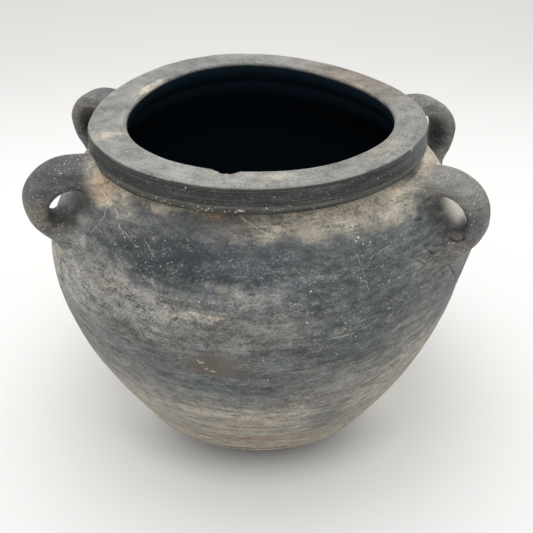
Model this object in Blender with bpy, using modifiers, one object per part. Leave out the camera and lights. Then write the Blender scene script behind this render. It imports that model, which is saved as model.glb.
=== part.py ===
"""A round-bellied black clay pot with four loop handles, as the potter's separate pieces of clay.

The pot is raised in rings: a floor disc, a lower wall, an upper wall and a heavy flat rim. Each ring
laps over the one below it. Four strap handles stand in shallow seats in the shoulder, and a coil of
luting clay is pressed round each handle root. Metres, +Z up, origin at the middle of the foot.
"""
import math

import bmesh
import bpy

# Body outline
BELLY_RADIUS = 0.1325
BELLY_HEIGHT = 0.117
NECK_RADIUS = 0.0947
NECK_HEIGHT = 0.179
FOOT_RADIUS = 0.0892
LOWER_FULLNESS = 1.65       # exponent of the lower curve: 2 is a parabola, 1 is a straight cone
WALL = 0.008
GAP = 0.0003                # clearance between neighbouring pieces
SEGMENTS = 60               # facets round the pot; handle angles are whole facets
WELD = 0.00001              # points this close are one point
SHARP_DEGREES = 40          # edges sharper than this stay crisp in the shading

# Floor disc and its rebate
FLOOR_TOP = 0.010
LEDGE_HEIGHT = 0.006        # the lower wall stands on this ledge
REBATE_RADIUS = 0.084
FLAT_FOOT_RADIUS = 0.084
COVE_HEIGHT = 0.002         # the wall's foot stays upright this far above the floor

# Scarf joint between the two walls
SCARF_OUTER = 0.096
SCARF_INNER = 0.104

# Lip of the upper wall, which the rim straddles
LIP_OUTER = 0.093
LIP_INNER = 0.087
LIP_TOP = 0.189
LIP_ROOT = 0.176

# Rim
RIM_TOP = 0.1972
RIM_RADIUS = 0.100
RIM_BOTTOM = 0.182
MOUTH_RADIUS = 0.079
RIM_CORNER = 0.0035
MOUTH_CORNER = 0.0025
BAND_HOLLOW = 0.0005        # how far the band curves in between its corner and its bead
BEAD_HEIGHT = 0.1848        # crest of the small bead near the band's lower edge
BEAD_RISE = 0.0018          # from the bead's crest to the hollow above it
UNDERCUT = 0.002            # the rim's lower edge slopes in this far
FLANGE_ROOT = 0.181         # inner flange of the rim: its underside at the lip
FLANGE_EDGE = 0.188         # and at the mouth

# Handles
HANDLE_ANGLES = {"front_right": -24, "back_right": 24, "back_left": 156, "front_left": 204}
LOOP_CENTRE = (0.1155, 0.161)
LOOP_RADIUS = 0.0205
LOOP_START = 155            # degrees round the loop, inside the neck
LOOP_END = -78              # inside the shoulder
STRAP_HALF_WIDTH = 0.0115
STRAP_HALF_THICKNESS = 0.0065
STRAP_STEPS = 16
STRAP_SIDES = 14
ROOT_FLARE = 0.28           # the strap is this much bigger at its roots
SEAT_DEPTH = 0.002          # how deep a handle stands in the wall
CORE_FOOT = 0.087           # the trimming cores end at this height, below the handles

# Luting coils round the handle roots: loop angles from the free edge to inside the wall
UPPER_COIL = (127, 160)
LOWER_COIL = (-46, -82)
COIL_STEPS = 4
COIL_EDGE = 0.28            # extra section size at the free edge, as a share of the strap's
COIL_FOOT = 0.70            # the same where it meets the wall


def body_radius(z):
    """Outer radius of the body's curve at height z."""
    if z > BELLY_HEIGHT:
        part = (z - BELLY_HEIGHT) / (NECK_HEIGHT - BELLY_HEIGHT)
        return BELLY_RADIUS - (BELLY_RADIUS - NECK_RADIUS) * part ** 2
    part = (BELLY_HEIGHT - z) / BELLY_HEIGHT
    return BELLY_RADIUS - (BELLY_RADIUS - FOOT_RADIUS) * part ** LOWER_FULLNESS


def wall_point(z, depth=0.0):
    """(radius, height) of a point at a depth below the body's skin at height z, square to it."""
    step = 0.00001
    slope = (body_radius(z + step) - body_radius(z - step)) / (2 * step)
    length = math.hypot(1.0, slope)
    return body_radius(z) - depth / length, z + depth * slope / length


def spread(first, last, count):
    """Evenly spaced values from first to last."""
    return [first + (last - first) * i / (count - 1) for i in range(count)]


def arc(centre, radii, first_degrees, last_degrees, count):
    """Points of an elliptical arc in the (radius, height) plane."""
    points = []
    for degrees in spread(first_degrees, last_degrees, count):
        angle = math.radians(degrees)
        points.append((centre[0] + radii[0] * math.cos(angle), centre[1] + radii[1] * math.sin(angle)))
    return points


def clay(name, colour, roughness):
    """A plain fired-clay material."""
    material = bpy.data.materials.new(name)
    material.use_nodes = True
    shader = material.node_tree.nodes["Principled BSDF"]
    shader.inputs["Base Color"].default_value = (*colour, 1.0)
    shader.inputs["Roughness"].default_value = roughness
    shader.inputs["Metallic"].default_value = 0.0
    material.diffuse_color = (*colour, 1.0)
    return material


def new_collection(name):
    collection = bpy.data.collections.new(name)
    bpy.context.scene.collection.children.link(collection)
    return collection


def turned(name, profile, collection, closed=True):
    """A profile of (radius, height) points turned round the pot's axis."""
    edges = [(i, i + 1) for i in range(len(profile) - 1)]
    if closed:
        edges.append((len(profile) - 1, 0))
    mesh = bpy.data.meshes.new(name)
    mesh.from_pydata([(radius, 0.0, z) for radius, z in profile], edges, [])
    piece = bpy.data.objects.new(name, mesh)
    collection.objects.link(piece)
    screw = piece.modifiers.new("turn", "SCREW")
    screw.steps = SEGMENTS
    screw.render_steps = SEGMENTS
    screw.use_merge_vertices = True
    screw.merge_threshold = WELD
    return piece


def as_cutter(piece):
    """Mark a helper solid, which is not part of the pot."""
    piece.hide_render = True
    piece.display_type = "WIRE"
    return piece


def cut(piece, cutter):
    """Take the cutter's space away from a piece."""
    modifier = piece.modifiers.new(cutter.name, "BOOLEAN")
    modifier.operation = "DIFFERENCE"
    modifier.solver = "EXACT"
    modifier.object = cutter


def make_real(piece):
    """Replace a piece's modifiers by the mesh they give, and shade it smooth."""
    graph = bpy.context.evaluated_depsgraph_get()
    mesh = bpy.data.meshes.new_from_object(piece.evaluated_get(graph))
    piece.modifiers.clear()
    piece.data = mesh
    mesh.shade_smooth()
    mesh.set_sharp_from_angle(angle=math.radians(SHARP_DEGREES))


# ---- turned pieces -------------------------------------------------------------------------------

def floor_disc_profile():
    """A slab with a rounded foot and a raised middle that the lower wall fits round."""
    ledge_radius = body_radius(LEDGE_HEIGHT)
    corner_radii = (ledge_radius - FLAT_FOOT_RADIUS, LEDGE_HEIGHT)
    corner = arc((FLAT_FOOT_RADIUS, LEDGE_HEIGHT), corner_radii, 0, -90, 5)
    return [(0.0, FLOOR_TOP), (REBATE_RADIUS, FLOOR_TOP), (REBATE_RADIUS, LEDGE_HEIGHT), *corner, (0.0, 0.0)]


def lower_wall_profile():
    """From the floor's ledge to the scarf below the belly, with a cove where it meets the floor."""
    foot = LEDGE_HEIGHT + GAP
    outside = [wall_point(z) for z in spread(SCARF_OUTER, foot, 8)]
    inner_foot = REBATE_RADIUS + GAP
    cove = [(inner_foot, foot), (inner_foot, FLOOR_TOP + COVE_HEIGHT)]
    inside = [wall_point(z, WALL) for z in spread(FLOOR_TOP + 1.5 * COVE_HEIGHT, SCARF_INNER, 6)]
    return outside + cove + inside


def upper_wall_profile():
    """From the scarf, round the belly and over the shoulder, to the upright lip."""
    lift = 1.5 * GAP        # keeps the sloping scarf faces a gap apart
    shoulder_top = BELLY_HEIGHT + (NECK_HEIGHT - BELLY_HEIGHT) * math.sqrt(
        (BELLY_RADIUS - LIP_OUTER) / (BELLY_RADIUS - NECK_RADIUS))
    outside = [wall_point(z) for z in spread(shoulder_top, SCARF_OUTER + lift, 11)]
    inside = [wall_point(z, WALL) for z in spread(SCARF_INNER + lift, LIP_ROOT, 8)]
    return [(LIP_OUTER, LIP_TOP), *outside, *inside, (LIP_INNER, LIP_ROOT), (LIP_INNER, LIP_TOP)]


def rim_ring_profile():
    """A heavy flat ring with a beaded band, grooved underneath to sit over the wall's lip."""
    top_corner = arc((RIM_RADIUS - RIM_CORNER, RIM_TOP - RIM_CORNER), (RIM_CORNER, RIM_CORNER), 90, 0, 4)
    hollow = RIM_RADIUS - BAND_HOLLOW
    band = [(hollow, RIM_TOP - 2 * RIM_CORNER), (hollow, BEAD_HEIGHT + BEAD_RISE),
            (RIM_RADIUS + BAND_HOLLOW, BEAD_HEIGHT), (hollow, RIM_BOTTOM + BAND_HOLLOW),
            (RIM_RADIUS - UNDERCUT, RIM_BOTTOM)]
    groove_top = LIP_TOP + GAP
    groove_outer = LIP_OUTER + GAP
    groove_inner = LIP_INNER - GAP
    groove = [(groove_outer, RIM_BOTTOM), (groove_outer, groove_top), (groove_inner, groove_top),
              (groove_inner, FLANGE_ROOT)]
    mouth = [(MOUTH_RADIUS + BAND_HOLLOW, FLANGE_EDGE), (MOUTH_RADIUS, FLANGE_EDGE + BEAD_RISE)]
    mouth_corner = arc((MOUTH_RADIUS + MOUTH_CORNER, RIM_TOP - MOUTH_CORNER),
                       (MOUTH_CORNER, MOUTH_CORNER), 180, 90, 3)
    return top_corner + band + groove + mouth + mouth_corner


def core_profile(depth):
    """The pot's solid outline: the rim a gap proud, and the body with its skin taken down by depth."""
    rim_reach = RIM_RADIUS + BAND_HOLLOW + GAP
    rim_under = RIM_BOTTOM - GAP
    lip = LIP_OUTER - depth
    skin = [wall_point(z, depth) for z in spread(rim_under, CORE_FOOT, 17)]
    skin = [(max(radius, lip), z) for radius, z in skin if z < rim_under - GAP]
    above = RIM_TOP + WALL
    return [(0.0, above), (rim_reach, above), (rim_reach, rim_under), (lip, rim_under),
            *skin, (0.0, skin[-1][1])]


# ---- handles and luting coils --------------------------------------------------------------------

def root_size(degrees):
    """Section size of the strap at an angle round its loop: 1 in the middle, more at the roots."""
    middle = (LOOP_START + LOOP_END) / 2
    reach = (LOOP_START - LOOP_END) / 2
    return 1.0 + ROOT_FLARE * abs((degrees - middle) / reach) ** 3


def oval(name, margin, collection):
    """The strap's closed oval section, as a curve: thickness along X, width along Y."""
    curve = bpy.data.curves.new(name, "CURVE")
    curve.dimensions = "2D"
    spline = curve.splines.new("POLY")
    spline.points.add(STRAP_SIDES - 1)
    for i, point in enumerate(spline.points):
        angle = 2 * math.pi * i / STRAP_SIDES
        point.co = ((STRAP_HALF_THICKNESS + margin) * math.cos(angle),
                    (STRAP_HALF_WIDTH + margin) * math.sin(angle), 0.0, 1.0)
    spline.use_cyclic_u = True
    section = bpy.data.objects.new(name, curve)
    collection.objects.link(section)
    return section


def loop_sweep(name, angles, size, margin, turn_degrees, collection):
    """Sweep the oval along the handle's loop through the given angles, as a closed mesh object."""
    section = oval(name + "_section", margin, collection)
    curve = bpy.data.curves.new(name, "CURVE")
    curve.dimensions = "3D"
    curve.twist_mode = "Z_UP"
    curve.bevel_mode = "OBJECT"
    curve.bevel_object = section
    curve.use_fill_caps = True
    spline = curve.splines.new("POLY")
    spline.points.add(len(angles) - 1)
    for point, degrees in zip(spline.points, angles):
        angle = math.radians(degrees)
        point.co = (LOOP_CENTRE[0] + LOOP_RADIUS * math.cos(angle),
                    LOOP_CENTRE[1] + LOOP_RADIUS * math.sin(angle), 0.0, 1.0)
        point.radius = size(degrees)
    path = bpy.data.objects.new(name + "_path", curve)
    path.rotation_euler = (math.radians(90), 0.0, math.radians(turn_degrees))
    collection.objects.link(path)
    bpy.context.view_layer.update()
    graph = bpy.context.evaluated_depsgraph_get()
    mesh = bpy.data.meshes.new_from_object(path.evaluated_get(graph))
    bm = bmesh.new()
    bm.from_mesh(mesh)
    bmesh.ops.remove_doubles(bm, verts=bm.verts, dist=WELD)
    bmesh.ops.recalc_face_normals(bm, faces=bm.faces)
    bm.to_mesh(mesh)
    bm.free()
    mesh.materials.clear()
    solid = bpy.data.objects.new(name, mesh)
    solid.matrix_world = path.matrix_world
    collection.objects.link(solid)
    bpy.data.objects.remove(path)
    bpy.data.objects.remove(section)
    return solid


def strap(name, margin, turn_degrees, collection):
    """The whole handle strap, grown by margin, at its place round the pot."""
    angles = spread(LOOP_START, LOOP_END, STRAP_STEPS)
    return loop_sweep(name, angles, root_size, margin, turn_degrees, collection)


def coil(name, ends, turn_degrees, collection):
    """A swelling round one root of the strap, widest at the wall."""
    free_end, wall_end = ends

    def size(degrees):
        share = (degrees - free_end) / (wall_end - free_end)
        return root_size(degrees) + COIL_EDGE + (COIL_FOOT - COIL_EDGE) * share

    angles = spread(free_end, wall_end, COIL_STEPS)
    return loop_sweep(name, angles, size, 0.0, turn_degrees, collection)


# ---- the pot -------------------------------------------------------------------------------------

def build_walls(pot):
    """The four turned pieces; returns the upper wall, which takes the handles' seats."""
    floor_disc = turned("floor_disc", floor_disc_profile(), pot, closed=False)
    lower_wall = turned("lower_wall", lower_wall_profile(), pot)
    upper_wall = turned("upper_wall", upper_wall_profile(), pot)
    rim_ring = turned("rim_ring", rim_ring_profile(), pot)
    floor_disc.data.materials.append(clay("floor_disc", (0.115, 0.112, 0.105), 0.70))
    lower_wall.data.materials.append(clay("lower_wall", (0.125, 0.122, 0.113), 0.66))
    upper_wall.data.materials.append(clay("upper_wall", (0.100, 0.105, 0.110), 0.60))
    rim_ring.data.materials.append(clay("rim_ring", (0.170, 0.168, 0.160), 0.62))
    return upper_wall


def build_handle(place, turn_degrees, pot, cutters, cores, upper_wall, materials):
    """One handle with its two seats in the wall and its two luting coils."""
    handle_clay, coil_clay = materials
    clearance = as_cutter(strap("clearance_" + place, GAP, turn_degrees, cutters))
    seats = as_cutter(strap("seats_" + place, GAP, turn_degrees, cutters))
    cut(seats, cores["seat_floor"])
    cut(upper_wall, seats)

    handle = strap("handle_" + place, 0.0, turn_degrees, pot)
    handle.data.materials.append(handle_clay)
    cut(handle, cores["handle_stop"])

    for end, ends in (("upper", UPPER_COIL), ("lower", LOWER_COIL)):
        luting = coil("luting_coil_" + end + "_" + place, ends, turn_degrees, pot)
        luting.data.materials.append(coil_clay)
        cut(luting, clearance)
        cut(luting, cores["pot_skin"])


def build_pot():
    for old in list(bpy.data.objects):
        bpy.data.objects.remove(old)
    pot = new_collection("clay_pot")
    cutters = new_collection("cutters")
    cores = {
        "handle_stop": as_cutter(turned("handle_stop", core_profile(SEAT_DEPTH), cutters, closed=False)),
        "seat_floor": as_cutter(turned("seat_floor", core_profile(SEAT_DEPTH + GAP), cutters, closed=False)),
        "pot_skin": as_cutter(turned("pot_skin", core_profile(-GAP), cutters, closed=False)),
    }
    upper_wall = build_walls(pot)
    materials = (clay("handle", (0.095, 0.098, 0.102), 0.60), clay("luting_coil", (0.130, 0.120, 0.105), 0.68))
    for place, turn_degrees in HANDLE_ANGLES.items():
        build_handle(place, turn_degrees, pot, cutters, cores, upper_wall, materials)
    bpy.context.view_layer.update()
    for piece in pot.objects:
        make_real(piece)


build_pot()
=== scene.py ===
"""The looks of a hand-built black clay pot with four loop handles.

The frame gives the pot's plain solids. Each is replaced here by a finely meshed piece of the same
shape, with the unevenness of hand work: a rim that is not quite round, dents, wiping marks, a chip in
the mouth and handle roots smeared into the wall. Positions are in the frame's metres. Places on the
pot are given by azimuth, in degrees from the front (-Y) towards the right (+X), and height.
"""

import math
from collections import namedtuple

import bpy
import numpy as np
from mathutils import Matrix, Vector


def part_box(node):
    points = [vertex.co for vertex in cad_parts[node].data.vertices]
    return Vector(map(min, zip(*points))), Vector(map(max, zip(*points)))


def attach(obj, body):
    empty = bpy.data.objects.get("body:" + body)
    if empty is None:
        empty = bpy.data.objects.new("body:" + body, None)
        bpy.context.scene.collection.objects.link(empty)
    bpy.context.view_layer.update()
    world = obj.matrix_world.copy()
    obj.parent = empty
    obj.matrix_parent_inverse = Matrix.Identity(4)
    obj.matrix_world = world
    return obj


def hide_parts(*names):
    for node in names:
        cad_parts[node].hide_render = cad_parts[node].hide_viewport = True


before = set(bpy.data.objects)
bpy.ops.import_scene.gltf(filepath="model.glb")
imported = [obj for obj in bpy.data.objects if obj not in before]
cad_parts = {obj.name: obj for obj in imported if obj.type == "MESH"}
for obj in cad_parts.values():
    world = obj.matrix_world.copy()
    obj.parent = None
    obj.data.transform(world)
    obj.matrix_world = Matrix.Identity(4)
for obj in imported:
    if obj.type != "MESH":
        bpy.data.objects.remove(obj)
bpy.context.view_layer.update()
MM = 0.001
UPWARD = np.array([0.0, 0.0, 1.0])

# ---- sizes, from the frame ----
WALL_LOW, WALL_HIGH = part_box("upper_wall")
LOWER_LOW, LOWER_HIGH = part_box("lower_wall")
RIM_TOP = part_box("rim_ring")[1].z
FLOOR_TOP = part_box("floor_disc")[1].z
LIP_TOP = WALL_HIGH.z
SCARF_OUTER = WALL_LOW.z
SCARF_INNER = LOWER_HIGH.z
LEDGE = LOWER_LOW.z

# The turned outline that the solids share
BELLY_RADIUS = 132.5 * MM
BELLY_HEIGHT = 117 * MM
NECK_RADIUS = 94.7 * MM
NECK_HEIGHT = 179 * MM
FOOT_RADIUS = 89.2 * MM
LOWER_FULLNESS = 1.65
WALL = 8 * MM
LIP_RADIUS = 93 * MM
LIP_INNER = 87 * MM
LIP_FOOT = 176 * MM         # where the inner wall turns up into the lip
REBATE_RADIUS = 84 * MM     # the floor's raised middle, and its flat foot
AXIS_GAP = 2 * MM           # the floor's rows of points stop this far from the axis

# Steps round the pot, and the sizes of the mesh's cells
AROUND = 720
CELL = 1.15 * MM
FINE_CELL = 0.6 * MM
HIDDEN_CELL = 2.6 * CELL
STRAP_GRID = ((150, 96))

# Each handle is a strap bent round an upright ellipse. In degrees and mm: its azimuth, the distance and
# height of its centre, its half sizes outwards, up and down, the strap's half thickness and half width,
# its sideways lean, and how much thicker than its mean it is above
Strap = namedtuple("Strap", "azimuth out height half_out half_up half_down thickness width lean extra")
HANDLES = {
    "front_left": Strap(-66.1, 115.6, 164.1, 20.0, 17.7, 16.8, 6.4, 14.0, 0.0, 1.3),
    "front_right": Strap(62.0, 116.0, 158.0, 21.4, 19.7, 17.6, 5.7, 12.7, 0.0, -0.5),
    "back_left": Strap(-118.2, 114.6, 166.2, 21.0, 20.0, 20.0, 5.2, 11.2, 0.14, 0.0),
    "back_right": Strap(111.4, 114.2, 162.9, 21.7, 21.9, 19.7, 5.7, 12.1, -0.03, 0.0),
}
LOOP_START = 150            # the strap's visible reach round its ellipse, in degrees
LOOP_END = -80
ROOT_DEPTH = 4.5 * MM       # how far the strap's ends reach under the wall's skin
CAP_DEPTH = 2.8 * MM        # how deep the strap's hidden ends may lie
STRAP_SQUARENESS = 2.8      # 2 would make the strap's section an ellipse
BLEND = 12 * MM             # how broadly a handle root is smeared into the wall
FILLET_REACH = 3.5 * MM     # how far the smeared clay stands off the strap, at most
ROOT_SPREAD = 20            # how many degrees either side of a strap the wall is drawn out to it
ROOT_FOOT = 118 * MM        # the height from which it is drawn out
WALL_REACH = 9 * MM         # how far the wall is drawn out, at most
SEARCH_START = 0.85         # share of the strap's half thickness from which its surface is searched
STRAP_REACH = 12 * MM       # how far it is searched
SEARCH_STEPS = 25
SEARCH_HALVINGS = 7
SEAM = 0.3 * MM             # wall and strap share the surface this far past their border, then dip
DIP = 0.6                   # under it with this slope


# ---- noise and small maths ----

def smooth(value, low, high):
    """0 below low, 1 above high, with a soft step between."""
    t = np.clip((value - low) / (high - low), 0.0, 1.0)
    return t * t * (3 - 2 * t)


def lattice(ix, iy, iz, seed):
    """A fixed pseudo-random value from -1 to 1 for each lattice point."""
    mask = 0xFFFFFFFF
    h = (ix * 374761393 + iy * 668265263 + iz * 1274126177 + seed * 974711) & mask
    h = ((h ^ (h >> 13)) * 1103515245 + 12345) & mask
    return ((h ^ (h >> 16)) & 0xFFFF) / 32767.5 - 1.0


def value_noise(points, cell, seed):
    """Smooth noise from -1 to 1 with one value for each cell."""
    q = points / cell
    base = np.floor(q).astype(np.int64)
    f = q - base
    f = f * f * f * (f * (f * 6 - 15) + 10)
    total = np.zeros(points.shape[:-1])
    for corner in range(8):
        step = np.array([corner & 1, (corner >> 1) & 1, (corner >> 2) & 1])
        weight = np.prod(np.where(step, f, 1 - f), axis=-1)
        at = base + step
        total += weight * lattice(at[..., 0], at[..., 1], at[..., 2], seed)
    return total


def layered_noise(points, cell, octaves, seed):
    """Value noise with finer and weaker noise added to it."""
    total = np.zeros(points.shape[:-1])
    for i in range(octaves):
        total += value_noise(points, cell / 2 ** i, seed + i) / 2 ** i
    return total


def azimuth_of(points):
    """Degrees from the front (-Y) towards the right (+X)."""
    return np.degrees(np.arctan2(points[..., 0], -points[..., 1]))


def around(angle, centre):
    """Signed difference of two azimuths in degrees."""
    return (angle - centre + 180) % 360 - 180


# ---- the pot's plain outline ----

def body_radius(z):
    """Radius of the body's skin at a height: two curves that meet at the belly."""
    z = np.asarray(z, float)
    above = (z - BELLY_HEIGHT) / (NECK_HEIGHT - BELLY_HEIGHT)
    below = np.clip((BELLY_HEIGHT - z) / BELLY_HEIGHT, 0, None)
    upper = BELLY_RADIUS - (BELLY_RADIUS - NECK_RADIUS) * above ** 2
    lower = BELLY_RADIUS - (BELLY_RADIUS - FOOT_RADIUS) * below ** LOWER_FULLNESS
    return np.where(z > BELLY_HEIGHT, upper, lower)


def body_slope(z):
    """Change of the skin's radius with height."""
    step = 0.01 * MM
    return (body_radius(z + step) - body_radius(z - step)) / (2 * step)


def wall_path(z, depth=0.0):
    """(radius, height) points at a depth below the body's skin at heights z."""
    slope = body_slope(z)
    length = np.hypot(1.0, slope)
    return np.stack([body_radius(z) - depth / length, z + depth * slope / length], -1)


def even_path(points, cell):
    """The same path with its points a cell apart."""
    points = np.asarray(points, float)
    reach = np.r_[0, np.cumsum(np.hypot(*np.diff(points, axis=0).T))]
    count = max(2, int(round(reach[-1] / cell)) + 1)
    at = np.linspace(0, reach[-1], count)
    return np.stack([np.interp(at, reach, points[:, k]) for k in (0, 1)], -1)


def soften(path):
    """A closed path with its corners slightly rounded."""
    return 0.5 * path + 0.25 * (np.roll(path, 1, 0) + np.roll(path, -1, 0))


def spin(path):
    """Turn a path round the pot's axis: an array of (path point, step round, xyz)."""
    angle = np.linspace(0, 2 * np.pi, AROUND, endpoint=False)
    radius = path[:, 0][:, None]
    height = np.repeat(path[:, 1][:, None], AROUND, 1)
    return np.stack([radius * np.cos(angle), radius * np.sin(angle), height], -1)


def grid_faces(rows, columns, closed_rows=False):
    """Quads of a grid that closes round its columns, and round its rows if asked."""
    last = rows if closed_rows else rows - 1
    i, j = np.meshgrid(np.arange(last), np.arange(columns), indexing="ij")
    i2, j2 = (i + 1) % rows, (j + 1) % columns
    corners = [i * columns + j, i2 * columns + j, i2 * columns + j2, i * columns + j2]
    return np.stack(corners, -1).reshape(-1, 4).tolist()


def grid_normals(grid, closed_rows=True):
    """Unit normals of a grid that closes round its columns."""
    round_about = np.roll(grid, -1, 1) - np.roll(grid, 1, 1)
    if closed_rows:
        along = np.roll(grid, -1, 0) - np.roll(grid, 1, 0)
    else:
        along = np.gradient(grid, axis=0)
    normal = np.cross(along, round_about)
    return normal / np.maximum(np.linalg.norm(normal, axis=-1, keepdims=True), 1e-12)


# ---- handles as a field, so that wall and strap melt into one surface ----

def level_axes(azimuth):
    """The outward and the sideways direction at an azimuth, both level."""
    angle = math.radians(azimuth - 90)
    return np.array([math.cos(angle), math.sin(angle), 0]), np.array([-math.sin(angle), math.cos(angle), 0])


def strap_size(theta, place):
    """Half thickness and half width of the strap at an angle round its loop, in degrees."""
    middle = (LOOP_START + LOOP_END) / 2
    reach = (LOOP_START - LOOP_END) / 2
    root = np.abs((theta - middle) / reach)
    upper = smooth(theta, middle, LOOP_START)
    strap = HANDLES[place]
    thickness = strap.thickness * MM * (0.95 + 0.12 * upper + 0.16 * root ** 4)
    thickness = thickness + strap.extra * MM * np.sin(np.radians(theta))
    width = strap.width * MM * (0.93 + 0.14 * upper + 0.20 * root ** 4)
    return thickness, width


def wall_distance(points):
    """About how far each point is outside the wall's plain skin."""
    radius = np.hypot(points[..., 0], points[..., 1])
    z = points[..., 2]
    return (radius - np.maximum(body_radius(z), LIP_RADIUS)) / np.hypot(1.0, body_slope(z))


def strap_distance(points, place):
    """About how far each point is outside the strap."""
    strap = HANDLES[place]
    outward, sideways = level_axes(strap.azimuth)
    dx = points @ outward - strap.out * MM
    dz = points[..., 2] - strap.height * MM
    across = points @ sideways - strap.lean * dz
    half_x = strap.half_out * MM
    half_z = np.where(dz > 0, strap.half_up, strap.half_down) * MM
    u = dx / half_x
    v = dz / half_z
    reach = np.hypot(u, v)
    off_loop = (reach - 1) * reach / np.maximum(np.hypot(u / half_x, v / half_z), 1e-9)
    theta = np.degrees(np.arctan2(v, u))
    theta = np.where(theta < -140, theta + 360, theta)
    thickness, width = strap_size(np.clip(theta, LOOP_END, LOOP_START), place)
    n = off_loop / thickness
    w = across / width
    m = STRAP_SQUARENESS
    q = (np.abs(n) ** m + np.abs(w) ** m) ** (1 / m)
    slope = np.hypot(n / thickness, w / width) / np.maximum(np.hypot(n, w), 1e-9)
    return (q - 1) / slope


def melt(a, b):
    """Smooth minimum of two distances."""
    h = np.clip(BLEND - np.abs(a - b), 0, None) / BLEND
    return np.minimum(a, b) - h * h * BLEND / 4


def melted(points, place):
    """Distance to the wall and strap melted together, and how much nearer the strap is."""
    to_wall = wall_distance(points)
    to_strap = strap_distance(points, place)
    return melt(to_wall, to_strap), to_wall - to_strap


def hidden_side(points, place, owner):
    """The melted field, which dips under the surface where the other piece owns it."""
    distance, strap_nearer = melted(points, place)
    if owner == "wall":
        return distance + DIP * np.clip(strap_nearer - SEAM, 0, None)
    dipped = distance + DIP * np.clip(-strap_nearer - SEAM, 0, None)
    return np.maximum(dipped, strap_distance(points, place) - FILLET_REACH)


def push_out(start, direction, place, owner, reach):
    """Move points along their directions to the melted surface."""
    steps = np.linspace(0, reach, SEARCH_STEPS + 1)
    low = np.zeros(len(start))
    high = np.full(len(start), reach)
    value = hidden_side(start, place, owner)
    found = value >= 0
    high[found] = 0
    for before, after in zip(steps[:-1], steps[1:]):
        value = hidden_side(start + direction * after, place, owner)
        hit = ~found & (value >= 0)
        low[hit] = before
        high[hit] = after
        found |= hit
    for _ in range(SEARCH_HALVINGS):
        middle = (low + high) / 2
        below = hidden_side(start + direction * middle[:, None], place, owner) < 0
        low = np.where(below & found, middle, low)
        high = np.where(~below & found, middle, high)
    travel = np.where(found, high, 0.0 if owner == "strap" else reach)
    return start + direction * travel[:, None]


def field_normals(points, place):
    """Unit normals of the melted surface."""
    step = 0.05 * MM
    normal = np.zeros_like(points)
    for axis in range(3):
        shift = np.zeros(3)
        shift[axis] = step
        normal[:, axis] = melted(points + shift, place)[0] - melted(points - shift, place)[0]
    return normal / np.maximum(np.linalg.norm(normal, axis=-1, keepdims=True), 1e-12)


# ---- hand work: relief and unevenness ----

def clay_relief(points):
    """Height of the dents, finger waves and small lumps of the clay's skin at each point."""
    flat = points * np.array([1, 1, 4.0])
    dents = 0.50 * MM * layered_noise(points, 42 * MM, 2, 11)
    waves = 0.16 * MM * layered_noise(flat, 30 * MM, 3, 23)
    lumps = 0.05 * MM * layered_noise(points, 6 * MM, 2, 37)
    return dents + waves + lumps


DEGREE_LENGTH = 2.2         # mm along the wall for one degree of azimuth
# Nicks in the shoulder: ends in (azimuth, height), half width and depth of the dent in mm, and half
# width in mm and strength of the dark line in it
NICKS = (
    ((54.5, 136.8), (58.5, 124.5), 1.5, 1.0, 0.9, 0.80),
    ((49.6, 148.2), (51.0, 145.8), 1.4, 0.9, 0.9, 0.75),
    ((44.0, 148.5), (46.0, 144.5), 1.3, 0.7, 0.7, 0.60),
    ((36.5, 151.0), (38.5, 147.5), 1.2, 0.6, 0.5, 0.45),
    ((48.5, 136.0), (50.5, 133.0), 1.3, 0.6, 0.7, 0.50),
    ((49.5, 163.5), (52.5, 162.0), 1.3, 0.8, 0.7, 0.70),
    ((-62.5, 134.0), (-61.0, 130.0), 1.4, 0.7, 0.9, 0.55),
    ((-18.6, 138.0), (-20.6, 133.0), 1.4, 0.6, 0.9, 0.55),
    ((-29.0, 129.5), (-25.5, 127.0), 1.4, 0.6, 0.9, 0.50),
    ((-17.5, 76.0), (-15.5, 72.5), 1.2, 0.5, 0.6, 0.50),
    ((60.0, 127.0), (68.0, 121.0), 2.4, 0.9, 0.9, 0.0),
)


def nick_depth(points):
    """How far the skin is pressed in by the nicks at each point."""
    turn = azimuth_of(points)
    depth = np.zeros(points.shape[:-1])
    for start, end, half_width, deep, _, _ in NICKS:
        run = around(turn, start[0]) * DEGREE_LENGTH
        rise = points[..., 2] / MM - start[1]
        long_run = (end[0] - start[0]) * DEGREE_LENGTH
        long_rise = end[1] - start[1]
        along = np.clip((run * long_run + rise * long_rise) / (long_run ** 2 + long_rise ** 2), 0, 1)
        away = np.hypot(run - along * long_run, rise - along * long_rise)
        depth = np.maximum(depth, deep * MM * np.exp(-(away / half_width) ** 2))
    return depth


# Creases pressed into a handle and clay smeared over it: chains of places, each an azimuth, a distance
# from the pot's axis in mm and a height
CREASES = {
    "front_right": ((58.0, 123.8, 151.5), (56.9, 127.1, 150.0), (56.8, 130.8, 149.6),
                    (57.1, 133.6, 152.0)),
}
CREASE_WIDTH = 0.8
CREASE_DEPTH = 0.9
SMEARS = {
    "front_right": ((59.0, 125.0, 152.6), (58.3, 130.6, 151.8)),
}
SMEAR_WIDTH = 1.5


def near_chain(points, chain, half_width):
    """1 on a chain of places, falling to 0 about two half widths away."""
    closest = np.full(points.shape[:-1], np.inf)
    places = []
    for azimuth, radius, height in chain:
        places.append(level_axes(azimuth)[0] * radius * MM + UPWARD * height * MM)
    for a, b in zip(places[:-1], places[1:]):
        along = np.clip((points - a) @ (b - a) / ((b - a) @ (b - a)), 0, 1)
        away = np.linalg.norm(points - a - along[..., None] * (b - a), axis=-1)
        closest = np.minimum(closest, away)
    return np.exp(-(closest / (half_width * MM)) ** 2)


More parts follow.
